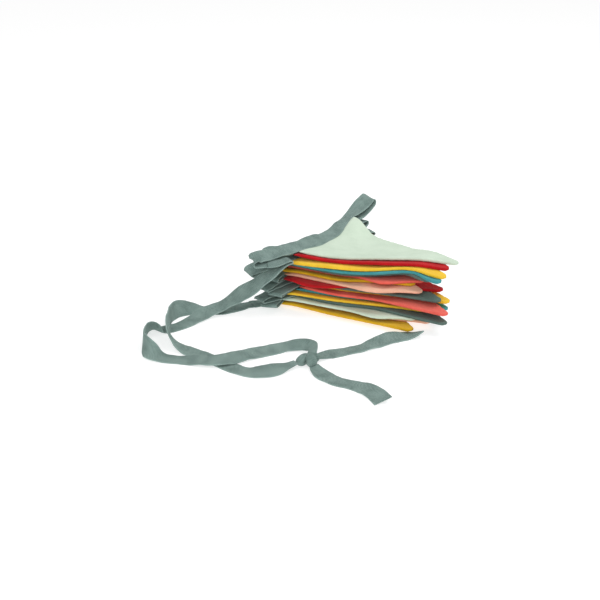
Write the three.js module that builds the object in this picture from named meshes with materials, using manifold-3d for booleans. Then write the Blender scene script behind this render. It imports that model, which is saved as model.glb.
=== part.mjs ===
// Fabric bunting put away: eighteen two-layer pennants folded zig-zag on one long
// twill tape, whose two ends run out as ties and meet in a knot.
// Millimetres, +Z up, +X to the right of the front view, +Y away from it.
import * as THREE from 'three';
import Module from 'manifold-3d';
import { mergeVertices } from 'three/addons/utils/BufferGeometryUtils.js';

// Driving sizes
const PENNANT_WIDTH = 145;
const PENNANT_LENGTH = 186;
const PENNANT_THICK = 2.4;
const TIP_RADIUS = 5;
const TAPE_WIDTH = 22;
const TAPE_THICK = 1.6;
const SEAM_GAP = 0.5;
const HEADING_DEG = 58;
const NEAR_CORNER = { x: 0, y: -8 };
const FOOTPRINT_CENTRE = { x: 4.57, y: -64.45 };
const FAR_LIFT = 5;
const KNOT_CLEARANCE = 0.52;
const LEFT_START = -8;
const LEFT_RUN = 56;
const BOWL_DEEP = 13;
const BOWL_STEP = 1.3;
const SHEET_STEP = 3.35;
const SHEET_BLEND = 0.8;

// The top sheet's bound edge rises towards the outside, most of all this far along it
const COLLAR_DEG = 28;
const COLLAR_AT = 54;
const COLLAR_SPREAD = 40;

// The folds left of the stack lean back by this angle at the top and by none at the bottom
const LEAN_DEG = 28;
const LEAN_Y = -12;

// One row per pennant, from the top of the stack down. near, far and tip are the heights
// of its sheet at the stack's near corner, far corner and tip, left the height that the near
// one falls to at LEFT_RUN further left, dip how far the sheet sags a quarter of the way to
// the tip and hump how far it rises three quarters of the way. tipX and tipY place its own
// tip, swing turns it clockwise seen from above, and slack is the length that its waves take
// up. bow is how far its near edge is drawn in, or bulges where negative, at the share bowAt
// of the way to the tip.
const PENNANTS = [
  {
    cloth: 'mint', near: 76, left: 76, far: 79, tip: 69.8, dip: 5.4, hump: 4,
    tipX: 197, tipY: -42, swing: -1, slack: 0, bow: 0, bowAt: 0.5,
  },
  {
    cloth: 'red', near: 72.4, left: 64, far: 72.4, tip: 65.2, dip: 5.2, hump: 3.6,
    tipX: 184, tipY: -52, swing: 2, slack: 4, bow: 0, bowAt: 0.5,
  },
  {
    cloth: 'yellow', near: 63.6, left: 58.6, far: 68.4, tip: 60.2, dip: 0.6, hump: 6,
    tipX: 179, tipY: -68, swing: 4, slack: 0, bow: 12, bowAt: 0.7,
  },
  {
    cloth: 'teal', near: 59.8, left: 56, far: 64.6, tip: 57, dip: 2.4, hump: 6,
    tipX: 172, tipY: -75, swing: 9, slack: 4, bow: 16, bowAt: 0.76,
  },
  {
    cloth: 'sage', near: 55.4, left: 51, far: 61.2, tip: 53.4, dip: 4, hump: 6,
    tipX: 161, tipY: -64, swing: 10, slack: 10, bow: 14, bowAt: 0.8,
  },
  {
    cloth: 'coral', near: 51.6, left: 47.6, far: 56.6, tip: 50, dip: 4, hump: -1.5,
    tipX: 155, tipY: -46, swing: 7, slack: 16, bow: -20, bowAt: 0.8,
  },
  {
    cloth: 'mustard', near: 48, left: 43.4, far: 52.1, tip: 46.4, dip: 3.8, hump: -1.5,
    tipX: 143, tipY: -47, swing: 7, slack: 24, bow: -4, bowAt: 0.5,
  },
  {
    cloth: 'peach', near: 44.4, left: 39, far: 47.5, tip: 42.6, dip: 4.2, hump: -3,
    tipX: 150, tipY: -65, swing: 11, slack: 22, bow: -16, bowAt: 0.7,
  },
  {
    cloth: 'red', near: 41.2, left: 33.4, far: 43, tip: 39.4, dip: 4.8, hump: -2.8,
    tipX: 178, tipY: -50, swing: 2, slack: 0, bow: -22, bowAt: 0.22,
  },
  {
    cloth: 'sage', near: 37.4, left: 29, far: 38.4, tip: 34, dip: 4.4, hump: -1,
    tipX: 172, tipY: -77, swing: 12, slack: 2, bow: 0, bowAt: 0.5,
  },
  {
    cloth: 'yellow', near: 33.2, left: 24, far: 33.9, tip: 30.2, dip: 3.2, hump: -0.4,
    tipX: 184, tipY: -70, swing: 9, slack: 0, bow: 0, bowAt: 0.5,
  },
  {
    cloth: 'coral', near: 28.6, left: 20.6, far: 29.3, tip: 24, dip: 1.3, hump: 2,
    tipX: 178, tipY: -100, swing: 16, slack: 0, bow: 6, bowAt: 0.5,
  },
  {
    cloth: 'teal', near: 24.6, left: 16.4, far: 24.8, tip: 20.8, dip: 1, hump: 0.4,
    tipX: 182, tipY: -72, swing: 8, slack: 2, bow: 0, bowAt: 0.5,
  },
  {
    cloth: 'yellow', near: 20.8, left: 13.4, far: 20.2, tip: 17.6, dip: 0.8, hump: 0.4,
    tipX: 155, tipY: -70, swing: 9, slack: 14, bow: 0, bowAt: 0.5,
  },
  {
    cloth: 'sage', near: 17, left: 9.6, far: 15.6, tip: 13, dip: 0.6, hump: 1,
    tipX: 177, tipY: -104, swing: 16, slack: 0, bow: 8, bowAt: 0.5,
  },
  {
    cloth: 'mint', near: 13.2, left: 7, far: 11, tip: 10.2, dip: 0.4, hump: 0.8,
    tipX: 141, tipY: -83, swing: 15, slack: 22, bow: -13, bowAt: 0.8,
  },
  {
    cloth: 'peach', near: 9.5, left: 3.4, far: 6.4, tip: 7, dip: 0.2, hump: 0,
    tipX: 160, tipY: -82, swing: 13.5, slack: 4, bow: -8, bowAt: 0.8,
  },
  {
    cloth: 'mustard', near: 5.8, left: 0.8, far: 1.8, tip: 3, dip: 0, hump: 0,
    tipX: 136, tipY: -101, swing: 20, slack: 2, bow: 0, bowAt: 0.5,
  },
];
const COUNT = PENNANTS.length;

const CLOTHS = {
  mint: 0xd5e6d4,
  red: 0xc81e28,
  yellow: 0xf0b932,
  teal: 0x50aaaf,
  sage: 0x64827a,
  coral: 0xf06e64,
  mustard: 0xd69a1c,
  peach: 0xf0b9a0,
  tape: 0x7d9a94,
};

const rad = THREE.MathUtils.degToRad;
const mix = THREE.MathUtils.lerp;
const ease = THREE.MathUtils.smoothstep;
const plan = (degrees) => ({ x: Math.cos(rad(degrees)), y: Math.sin(rad(degrees)) });
const HEADING = plan(HEADING_DEG);
const OUTWARD = plan(HEADING_DEG - 90);
const EDGE = Math.hypot(PENNANT_LENGTH, PENNANT_WIDTH / 2);
const EDGE_COS = PENNANT_LENGTH / EDGE;
const EDGE_SIN = PENNANT_WIDTH / 2 / EDGE;

// Share of the way down the stack, 0 at the top sheet and 1 at the bottom one
const depth = (layer) => layer / (COUNT - 1);

// A sheet's own height over any spot of the floor. The near corner, far corner and tip of
// the stack carry a plane, and on it lie the sag, the hump, a soft ripple, the bowl into
// which the middle sinks behind the near edges, the far corner pulled up by the tape's top
// loop, the collar where the bound edge rises towards the outside, and the lean of the
// folds left of the stack.
function ownHeight(layer, x, y) {
  const row = PENNANTS[layer];
  const along = (x - NEAR_CORNER.x) * HEADING.x + (y - NEAR_CORNER.y) * HEADING.y;
  const out = (x - NEAR_CORNER.x) * OUTWARD.x + (y - NEAR_CORNER.y) * OUTWARD.y;
  const tipShare = out / PENNANT_LENGTH;
  const farShare = along / PENNANT_WIDTH - tipShare / 2;
  const level = row.near + (row.far - row.near) * farShare + (row.tip - row.near) * tipShare;
  const sag = row.dip * Math.exp(-(((tipShare - 0.24) / 0.2) ** 2));
  const hump = row.hump * Math.exp(-(((tipShare - 0.76) / 0.2) ** 2));
  const ripple = 0.8 * Math.sin(7 * tipShare + 3 * farShare + 0.22 * layer);
  const toFar = Math.hypot(along - PENNANT_WIDTH, out) / 45;
  const lift = FAR_LIFT * 0.62 ** layer * Math.exp(-(toFar ** 2));
  const fromNearEdge = along * EDGE_COS - out * EDGE_SIN;
  const bowlDeep = Math.max(0, BOWL_DEEP - BOWL_STEP * layer) * ease(fromNearEdge, -5, 85);
  const bowl = bowlDeep * (1 - Math.exp(-((toFar * 1.5) ** 2)));
  const inward = Math.max(0, -out - 2);
  const spread = Math.exp(-(((along - COLLAR_AT) / COLLAR_SPREAD) ** 2));
  const collarDeg = layer === 0 ? COLLAR_DEG * spread : 0;
  const collar = Math.tan(rad(collarDeg)) * inward * ease(inward, 0, 8);
  const lean = Math.tan(rad(LEAN_DEG * (1 - depth(layer)))) * (y - LEAN_Y) * ease(-x, 6, 44);
  const fall = (row.near - row.left) * Math.max(0, (LEFT_START - x) / LEFT_RUN);
  const soft = ripple * ease(tipShare, 0, 0.3) + lift + Math.min(collar, 12);
  return level - sag - bowl - fall + hump + soft + lean;
}

// A sheet's height as it lies: its own height, or a sheet's step over the one below where
// that is more, blended where the two are about equal.
function sheetHeight(layer, x, y) {
  let height = Math.max(PENNANT_THICK / 2, ownHeight(COUNT - 1, x, y));
  for (let upper = COUNT - 2; upper >= layer; upper -= 1) {
    const own = ownHeight(upper, x, y);
    const least = height + SHEET_STEP;
    height = (own + least + Math.hypot(own - least, SHEET_BLEND)) / 2;
  }
  return height;
}

// Turns rows of points into a mesh skin between neighbouring rows, both ways wrapped or not
function skin(positions, faces) {
  const geometry = new THREE.BufferGeometry();
  geometry.setAttribute('position', new THREE.Float32BufferAttribute(positions, 3));
  geometry.setIndex(faces);
  const merged = mergeVertices(geometry, 1e-3);
  const index = Array.from(merged.index.array);
  const kept = [];
  for (let i = 0; i < index.length; i += 3) {
    const [a, b, c] = index.slice(i, i + 3);
    if (a !== b && b !== c && c !== a) kept.push(a, b, c);
  }
  merged.setIndex(kept);
  merged.computeVertexNormals();
  return merged;
}

// A pennant's own axes: its near corner, heading direction and tip direction
function pennantAxes(layer) {
  const row = PENNANTS[layer];
  const heading = plan(HEADING_DEG - row.swing);
  const outward = plan(HEADING_DEG - row.swing - 90);
  const length = PENNANT_LENGTH - row.slack;
  return {
    heading,
    outward,
    length,
    x: row.tipX - heading.x * PENNANT_WIDTH / 2 - outward.x * length,
    y: row.tipY - heading.y * PENNANT_WIDTH / 2 - outward.y * length,
  };
}

// Two layers of cloth sewn round the edge: a flat pillow on a grid that narrows from the
// top edge to a rounded tip and whose rim closes where the layers meet.
const ALONG_STEPS = [0, 0.03, 0.1, 0.18, 0.26, 0.34, 0.42, 0.5, 0.58, 0.66, 0.74, 0.82, 0.9, 0.96, 0.99, 1];
const ACROSS_STEPS = [-1, -0.95, -0.8, -0.55, -0.3, 0, 0.3, 0.55, 0.8, 0.95, 1];
const RIM_FALL = 0.12;

function pennantGeometry(layer) {
  const axes = pennantAxes(layer);
  const positions = [];
  const faces = [];
  const columns = ACROSS_STEPS.length;
  const slope = (PENNANT_WIDTH / 2 - TIP_RADIUS) / axes.length;
  const { bow, bowAt } = PENNANTS[layer];
  for (const side of [1, -1]) {
    for (const u of ALONG_STEPS) {
      const toTip = axes.length * (1 - u);
      const round = Math.sqrt(1 - (1 - Math.min(toTip / TIP_RADIUS, 1)) ** 2);
      const half = slope * toTip + TIP_RADIUS * round;
      const drawn = bow * Math.exp(-(((u - bowAt) / 0.2) ** 2)) * ease(toTip, 0, 40);
      for (const v of ACROSS_STEPS) {
        const along = PENNANT_WIDTH / 2 + v * half + drawn * Math.max(0, -v);
        const x = axes.x + axes.heading.x * along + axes.outward.x * axes.length * u;
        const y = axes.y + axes.heading.y * along + axes.outward.y * axes.length * u;
        const rim = Math.min(1, (1 - Math.abs(v)) / RIM_FALL + 0.001, u / 0.03, (1 - u) / 0.02);
        const plump = Math.abs(v) === 1 || u === 0 || u === 1 ? 0 : 0.55 + 0.45 * rim;
        positions.push(x, y, sheetHeight(layer, x, y) + side * plump * PENNANT_THICK / 2);
      }
    }
  }
  const rows = ALONG_STEPS.length;
  for (let i = 0; i < rows - 1; i += 1) {
    for (let j = 0; j < columns - 1; j += 1) {
      const a = i * columns + j;
      const b = a + 1;
      const c = a + columns;
      const d = c + 1;
      const under = rows * columns;
      faces.push(a, c, b, b, c, d);
      faces.push(a + under, b + under, c + under, b + under, d + under, c + under);
    }
  }
  return skin(positions, faces);
}

// A flat tape carried along rows of { x, y, z, az, el, wide }: a smooth curve through the
// rows, its slope at each row weighted by the distances to the next ones, with the tape's
// width pointing at azimuth az and elevation el, square to the curve, and wide the share of
// the full width where the tape is gathered.
function ribbonGeometry(rows, steps, grow = 0) {
  const gaps = rows.slice(1).map((row, i) => Math.hypot(row.x - rows[i].x, row.y - rows[i].y, row.z - rows[i].z));
  const spline = (key) => {
    const values = rows.map((row) => row[key] ?? 1);
    const slopes = gaps.map((gap, i) => (values[i + 1] - values[i]) / gap);
    const lean = (i) => {
      if (i === 0 || i === gaps.length) return slopes[Math.min(i, gaps.length - 1)];
      return (slopes[i - 1] * gaps[i] + slopes[i] * gaps[i - 1]) / (gaps[i - 1] + gaps[i]);
    };
    return (at) => {
      const i = Math.min(Math.floor(at), rows.length - 2);
      const f = at - i;
      const bend = lean(i) * gaps[i] * f * (1 - f) ** 2 - lean(i + 1) * gaps[i] * f * f * (1 - f);
      return values[i] + (values[i + 1] - values[i]) * f * f * (3 - 2 * f) + bend;
    };
  };
  const [x, y, z, az, el, wide] = ['x', 'y', 'z', 'az', 'el', 'wide'].map(spline);
  const spot = (at) => new THREE.Vector3(x(at), y(at), z(at));
  const last = rows.length - 1;
  const total = Math.round(last * steps);
  const positions = [];
  for (let k = 0; k <= total; k += 1) {
    const at = last * k / total;
    const centre = spot(at);
    const tangent = spot(Math.min(last, at + 0.04)).sub(spot(Math.max(0, at - 0.04))).normalize();
    const level = Math.cos(rad(el(at)));
    const width = new THREE.Vector3(
      Math.cos(rad(az(at))) * level,
      Math.sin(rad(az(at))) * level,
      Math.sin(rad(el(at))),
    );
    width.addScaledVector(tangent, -width.dot(tangent)).normalize();
    const normal = new THREE.Vector3().crossVectors(tangent, width);
    const halfWidth = (TAPE_WIDTH * wide(at) + grow) / 2;
    const halfThick = (TAPE_THICK + grow) / 2;
    if (k === 0) centre.addScaledVector(tangent, -grow / 2);
    if (k === total) centre.addScaledVector(tangent, grow / 2);
    for (const [w, n] of [[1, 1], [-1, 1], [-1, -1], [1, -1]]) {
      const point = centre.clone();
      point.addScaledVector(width, w * halfWidth).addScaledVector(normal, n * halfThick);
      positions.push(point.x, point.y, grow ? point.z : Math.max(0, point.z));
    }
  }
  const faces = [0, 2, 1, 0, 3, 2];
  for (let k = 0; k < total; k += 1) {
    for (let c = 0; c < 4; c += 1) {
      const a = k * 4 + c;
      const b = k * 4 + ((c + 1) % 4);
      faces.push(a, b, a + 4, b, b + 4, a + 4);
    }
  }
  const end = total * 4;
  faces.push(end, end + 1, end + 2, end, end + 2, end + 3);
  return skin(positions, faces);
}

// Folds of the tape at the near end of the stack. Fold 0 brings the top strip back under
// itself, and fold k joins the strips of sheets 2k and 2k + 1 counted from one. x and y
// place its end.
const NEAR_FOLDS = [
  { x: -58, y: -33 },
  { x: -46, y: -5 },
  { x: -66, y: -19 },
  { x: -54, y: -6 },
  { x: -37, y: -14 },
  { x: -48, y: -20 },
  { x: -32, y: -27 },
  { x: -52, y: -22 },
  { x: -40, y: -30 },
];
const TOP_FOLD = { upper: 75.5, lower: 69, tilt: 19 };

// Folds at the far end: fold k joins the strips of sheets 2k - 1 and 2k. reach is how far
// it stands out past the far corner, side how far it leans towards the tips, lift how far
// it rises, gap the hollow between its two strips, tilt how far it leans to one side and
// steep its rise towards its end.
const FAR_FOLDS = [
  { reach: 47, side: 8, lift: 20, gap: 9, tilt: 14, steep: 0.46 },
  { reach: 44, side: 0, lift: 2, gap: 7, tilt: 0, steep: 0 },
  { reach: 26, side: 18, lift: -1, gap: 6, tilt: 0, steep: 0 },
  { reach: 36, side: 12, lift: -2, gap: 5, tilt: 0, steep: 0 },
  { reach: 31, side: 14, lift: -1, gap: 5, tilt: 0, steep: 0 },
  { reach: 38, side: 8, lift: -1, gap: 5, tilt: 0, steep: 0 },
  { reach: 27, side: 0, lift: -1, gap: 5, tilt: 0, steep: 0 },
  { reach: 34, side: 10, lift: -1, gap: 4.6, tilt: 0, steep: 0 },
  { reach: 24, side: 2, lift: -1, gap: 3.8, tilt: 0, steep: 0 },
];

// The strip bound along a pennant's top edge, as rows from its near to its far corner:
// share of the edge, and how much further out than the seam the tape stands there
const STRIP_STOPS = [
  { share: 0.04, off: 1.9 },
  { share: 0.16, off: 0.3 },
  { share: 0.27, off: 0.1 },
  { share: 0.38, off: 0 },
  { share: 0.6, off: 0 },
  { share: 0.8, off: 0 },
  { share: 0.92, off: 0.4 },
  { share: 1.02, off: 1.8 },
];

function stripRows(layer) {
  const axes = pennantAxes(layer);
  const azimuth = THREE.MathUtils.radToDeg(Math.atan2(axes.heading.y, axes.heading.x)) + 90;
  return STRIP_STOPS.map((stop) => {
    const along = PENNANT_WIDTH * stop.share;
    const spot = (out) => [
      axes.x + axes.heading.x * along - axes.outward.x * out,
      axes.y + axes.heading.y * along - axes.outward.y * out,
    ];
    const inner = SEAM_GAP + stop.off;
    const heights = [inner + TAPE_WIDTH, inner].map((out) => sheetHeight(layer, ...spot(out)));
    const slope = Math.atan2(heights[0] - heights[1], TAPE_WIDTH);
    const [x, y] = spot(inner + Math.cos(slope) * TAPE_WIDTH / 2);
    const z = Math.max(TAPE_THICK / 2, (heights[0] + heights[1]) / 2);
    return { x, y, z, az: azimuth, el: THREE.MathUtils.radToDeg(slope) };
  });
}

// A hairpin: rows from the end of one strip round the fold's end to the end of the other,
// each side square to its own line and at its own height
const HAIRPIN = [
  { back: 16, fall: 0 },
  { back: 7, fall: 0 },
  { back: 1.4, fall: 0.14 },
  { back: 0, fall: 0.5 },
  { back: 1.4, fall: 0.86 },
  { back: 7, fall: 1 },
  { back: 16, fall: 1 },
];

function hairpin(end, fromStrip, toStrip, heights, tilt, sideways) {
  const lines = [fromStrip, toStrip].map((start) => {
    const span = Math.hypot(end.x - start.x, end.y - start.y);
    return { x: (end.x - start.x) / span, y: (end.y - start.y) / span };
  });
  return HAIRPIN.map(({ back, fall }) => {
    const across = ease(fall, 0.1, 0.9);
    const line = { x: mix(lines[0].x, lines[1].x, across), y: mix(lines[0].y, lines[1].y, across) };
    const x = end.x - line.x * back;
    const y = end.y - line.y * back;
    const height = (dx, dy) => mix(heights[0](x + dx, y + dy), heights[1](x + dx, y + dy), fall);
    const side = { x: -line.y * sideways * TAPE_WIDTH / 2, y: line.x * sideways * TAPE_WIDTH / 2 };
    const rise = Math.atan2(height(side.x, side.y) - height(-side.x, -side.y), TAPE_WIDTH);
    const azimuth = THREE.MathUtils.radToDeg(Math.atan2(side.y, side.x));
    return { x, y, z: height(0, 0), az: azimuth, el: tilt + THREE.MathUtils.radToDeg(rise) };
  });
}

function nearFoldRows(fold, upperStrip, lowerStrip, heights, tilt) {
  const rows = hairpin(fold, upperStrip[0], lowerStrip[0], heights, tilt, -1);
  return rows.map((row) => ({ ...row, az: (row.az + 360) % 360 }));
}

function farFoldRows(fold, upperStrip, lowerStrip) {
  const corner = upperStrip[STRIP_STOPS.length - 1];
  const lower = lowerStrip[STRIP_STOPS.length - 1];
  const end = {
    x: corner.x + HEADING.x * fold.reach + OUTWARD.x * fold.side,
    y: corner.y + HEADING.y * fold.reach + OUTWARD.y * fold.side,
  };
  const middle = (corner.z + lower.z) / 2 + fold.lift;
  const heights = [0.5, -0.5].map((half) => (x, y) => {
    const back = (end.x - x) * HEADING.x + (end.y - y) * HEADING.y;
    return middle + half * fold.gap - fold.steep * back;
  });
  return hairpin(end, corner, lower, heights, fold.tilt, 1);
}

// The whole heading, back and forth down the stack: fold 0 first, then strip, far fold,
// strip, near fold, and so on to the last strip, which runs out over the floor.
function headingRows() {
  const strips = PENNANTS.map((row, layer) => stripRows(layer));
  const topHeights = [() => TOP_FOLD.upper, () => TOP_FOLD.lower];
  const rows = nearFoldRows(NEAR_FOLDS[0], strips[0], [TIE_UPPER[1]], topHeights, TOP_FOLD.tilt).reverse();
  for (let layer = 0; layer < COUNT; layer += 2) {
    const upper = strips[layer];
    const lower = strips[layer + 1];
    rows.push(...upper, ...farFoldRows(FAR_FOLDS[layer / 2], upper, lower), ...[...lower].reverse());
    if (layer + 2 < COUNT) {
      const heights = [1, 2].map((step) => (x, y) => sheetHeight(layer + step, x, y));
      rows.push(...nearFoldRows(NEAR_FOLDS[layer / 2 + 1], lower, strips[layer + 2], heights, 0));
    }
  }
  rows.push(...HEADING_END);
  return rows;
}

const HEADING_END = [
  { x: -44.5, y: 9.6, z: 1.6, az: 131, el: 0 },
  { x: -53, y: 3.6, z: 0.8, az: 121, el: 0 },
  { x: -62, y: -0.6, z: 0.8, az: 114, el: 0 },
];

// The upper tie: from the return strip under the top fold, over the front of the folds and
// down to the floor, round the left in a loop that stands on edge, and back to the knot.
const TIE_UPPER = [
  { x: -41.5, y: -30.8, z: 69, az: 97.4, el: 19 },
  { x: -30, y: -29.4, z: 68.6, az: 99, el: 12 },
  { x: -22, y: -27, z: 69.4, az: 109, el: 4 },
  { x: -14.6, y: -23.5, z: 70.9, az: 115, el: 0 },
  { x: -13.3, y: -22.9, z: 70.6, az: 115, el: 0 },
  { x: -12.9, y: -22.7, z: 69.6, az: 115, el: 0 },
  { x: -13.3, y: -22.9, z: 68.6, az: 115, el: 0 },
  { x: -14.6, y: -23.5, z: 68.3, az: 115, el: 0 },
  { x: -21, y: -27.6, z: 66.2, az: 117, el: -2 },
  { x: -29, y: -32.6, z: 60.4, az: 120, el: -5 },
  { x: -38, y: -35.6, z: 53.4, az: 123, el: 0 },
  { x: -48, y: -36, z: 46.6, az: 125, el: 9 },
  { x: -60, y: -37.5, z: 38, az: 125, el: 20 },
  { x: -72, y: -33, z: 29.4, az: 121, el: 25 },
  { x: -84, y: -28.6, z: 20, az: 117, el: 20 },
  { x: -97, y: -30, z: 11.5, az: 110, el: 12 },
  { x: -109, y: -36, z: 8.6, az: 112, el: 14 },
  { x: -120, y: -43, z: 5.8, az: 116, el: 16 },
  { x: -132, y: -57, z: 2.8, az: 117, el: 8 },
  { x: -144, y: -70, z: 1.2, az: 114, el: 2 },
  { x: -156, y: -81, z: 0.8, az: 108, el: 0 },
  { x: -167, y: -88, z: 0.8, az: 105, el: 0 },
  { x: -172, y: -91.4, z: 1.3, az: 108, el: -7 },
  { x: -177.4, y: -96.6, z: 6, az: 118, el: -34 },
  { x: -183.4, y: -108, z: 10.4, az: 150, el: -70 },
  { x: -186, y: -122, z: 11, az: 176, el: -84 },
  { x: -186, y: -138, z: 11, az: 190, el: -84 },
  { x: -183, y: -152, z: 10.4, az: 214, el: -72 },
  { x: -177, y: -163, z: 8, az: 236, el: -48 },
  { x: -169, y: -170.6, z: 4, az: 254, el: -20 },
  { x: -158, y: -175.4, z: 1.6, az: 265, el: -4 },
  { x: -146, y: -178, z: 0.8, az: 271, el: 0 },
  { x: -138, y: -179, z: 0.8, az: 274, el: 0 },
  { x: -132, y: -180.6, z: 1.5, az: 275, el: -3 },
  { x: -124, y: -183, z: 2.5, az: 276, el: -6 },
  { x: -110, y: -188, z: 4.2, az: 278, el: -3 },
  { x: -96, y: -190, z: 5.6, az: 282, el: -8 },
  { x: -80, y: -184, z: 5.5, az: 286, el: -12 },
  { x: -64, y: -172, z: 4.6, az: 284, el: -10 },
  { x: -49, y: -162, z: 3, az: 281, el: -10 },
  { x: -34, y: -153, z: 2.4, az: 279, el: -8 },
  { x: -19, y: -146, z: 3.2, az: 277, el: -10 },
  { x: -6, y: -144, z: 5, az: 268, el: -18, wide: 0.96 },
  { x: 6, y: -148, z: 7, az: 250, el: -26, wide: 0.85 },
  { x: 14, y: -157, z: 9, az: 215, el: -30, wide: 0.7 },
  { x: 15, y: -169, z: 9.6, az: 186, el: -22, wide: 0.55 },
  { x: 14, y: -176.5, z: 9.4, az: 180, el: -14, wide: 0.5 },
];

// The lower tie: out of the bottom of the folds, under the upper tie, round its own loop
// on edge and over the upper tie, flat again and under it, and to the knot.
const TIE_LOWER = [
  { x: -62.45, y: -0.8, z: 0.8, az: 114, el: 0 },
  { x: -71, y: -4.8, z: 0.8, az: 117, el: 0 },
  { x: -80, y: -12, z: 0.8, az: 116, el: 0 },
  { x: -90, y: -19, z: 0.8, az: 106, el: 0 },
  { x: -102, y: -25, z: 0.8, az: 88, el: 0 },
  { x: -114, y: -23, z: 0.8, az: 80, el: 0 },
  { x: -125, y: -21.6, z: 1.4, az: 84, el: 4 },
  { x: -136, y: -24.6, z: 4.6, az: 94, el: 22 },
  { x: -146.6, y: -31.4, z: 8, az: 107, el: 44 },
  { x: -154, y: -41, z: 10.6, az: 128, el: 66 },
  { x: -158.6, y: -53, z: 11.8, az: 155, el: 79 },
  { x: -160.6, y: -68, z: 13.6, az: 175, el: 84 },
  { x: -161, y: -86, z: 14.8, az: 180, el: 84 },
  { x: -160.4, y: -104, z: 14.2, az: 185, el: 82 },
  { x: -157.6, y: -119, z: 11.8, az: 196, el: 72 },
  { x: -151.6, y: -132, z: 8.4, az: 210, el: 48 },
  { x: -142, y: -144, z: 4.2, az: 222, el: 20 },
  { x: -131, y: -154, z: 1.4, az: 229, el: 3 },
  { x: -118, y: -163, z: 0.8, az: 231, el: 0 },
  { x: -105, y: -174, z: 0.8, az: 230, el: 0 },
  { x: -92, y: -186, z: 0.8, az: 230, el: 0 },
  { x: -77, y: -201, z: 0.8, az: 238, el: 0 },
  { x: -63, y: -212, z: 1.4, az: 254, el: -3 },
  { x: -47, y: -218, z: 3.4, az: 270, el: -12 },
  { x: -34, y: -216, z: 4.4, az: 280, el: -16 },
  { x: -22, y: -209, z: 4.6, az: 288, el: -14, wide: 0.85 },
  { x: -13, y: -203, z: 5.2, az: 296, el: -8, wide: 0.62 },
  { x: -4.5, y: -197, z: 6, az: 300, el: -4, wide: 0.45 },
];

// The two free ends past the knot: one runs right along the floor and twists up on its
// long edge, the other comes forward and ends in a cut edge that stands up a little.
const END_RIGHT = [
  { x: 19.5, y: -181, z: 4.6, az: 125, el: 0, wide: 0.45 },
  { x: 26, y: -172, z: 3, az: 118, el: 0, wide: 0.72 },
  { x: 37, y: -162, z: 0.9, az: 104, el: 0 },
  { x: 55, y: -153, z: 0.8, az: 100, el: 0 },
  { x: 68, y: -147, z: 1, az: 108, el: -2 },
  { x: 78, y: -141, z: 1.6, az: 118, el: -6 },
  { x: 88, y: -134, z: 2, az: 118, el: 4 },
  { x: 98, y: -127, z: 3.4, az: 114, el: 13 },
  { x: 108, y: -120, z: 4, az: 108, el: 16 },
  { x: 119, y: -113, z: 3, az: 104, el: 10 },
  { x: 130, y: -108, z: 1.6, az: 100, el: 0 },
  { x: 140, y: -105, z: 3, az: 98, el: -12 },
  { x: 147, y: -102, z: 4.8, az: 96, el: -20 },
];

const END_FRONT = [
  { x: 16, y: -200, z: 4, az: 40, el: 4, wide: 0.5 },
  { x: 19, y: -208, z: 2.6, az: 50, el: 2, wide: 0.75 },
  { x: 25, y: -219, z: 1, az: 62, el: 0 },
  { x: 34, y: -231, z: 0.9, az: 66, el: 1 },
  { x: 44, y: -240, z: 0.8, az: 72, el: 0 },
  { x: 54, y: -245, z: 0.8, az: 74, el: 0 },
  { x: 64, y: -252, z: 1.2, az: 64, el: 2 },
  { x: 73, y: -262, z: 3.2, az: 56, el: 10 },
  { x: 82, y: -276, z: 3.8, az: 56, el: 12 },
  { x: 89, y: -294, z: 4, az: 57, el: 13 },
];

// The knot: a lump of two turns of tape, one over the other, flat under it, with a slot
// for each of the four tapes that go into it.
const KNOT_TURNS = [
  { x: 3, y: -190, z: 6.4, long: 12, wide: 9, high: 7, turn: 35 },
  { x: 12, y: -188, z: 8, long: 14, wide: 10, high: 8.4, turn: -62 },
];

const wasm = await Module();
wasm.setup();

function solidOf(geometry) {
  const merged = skin(Array.from(geometry.attributes.position.array), Array.from(geometry.index.array));
  return new wasm.Manifold(new wasm.Mesh({
    numProp: 3,
    vertProperties: new Float32Array(merged.attributes.position.array),
    triVerts: new Uint32Array(merged.index.array),
  }));
}

function geometryOf(solid) {
  const mesh = solid.getMesh();
  return skin(Array.from(mesh.vertProperties), Array.from(mesh.triVerts));
}

function knotGeometry() {
  const turns = KNOT_TURNS.map((row) => {
    const ball = new THREE.SphereGeometry(1, 14, 9);
    ball.deleteAttribute('normal');
    ball.deleteAttribute('uv');
    ball.scale(row.long, row.wide, row.high);
    ball.rotateZ(rad(row.turn));
    ball.translate(row.x, row.y, row.z);
    const spots = ball.attributes.position;
    for (let i = 0; i < spots.count; i += 1) spots.setZ(i, Math.max(0, spots.getZ(i)));
    return solidOf(ball);
  });
  let knot = turns[0].add(turns[1]);
  for (const rows of [TIE_UPPER.slice(-7), TIE_LOWER.slice(-7), END_RIGHT.slice(0, 6), END_FRONT.slice(0, 6)]) {
    knot = knot.subtract(solidOf(ribbonGeometry(rows, 2, 2 * KNOT_CLEARANCE)));
  }
  return geometryOf(knot);
}

function part(name, cloth, geometry) {
  const material = new THREE.MeshStandardMaterial({ color: CLOTHS[cloth], roughness: 0.9, metalness: 0 });
  const mesh = new THREE.Mesh(geometry, material);
  mesh.name = name;
  return mesh;
}

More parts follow.
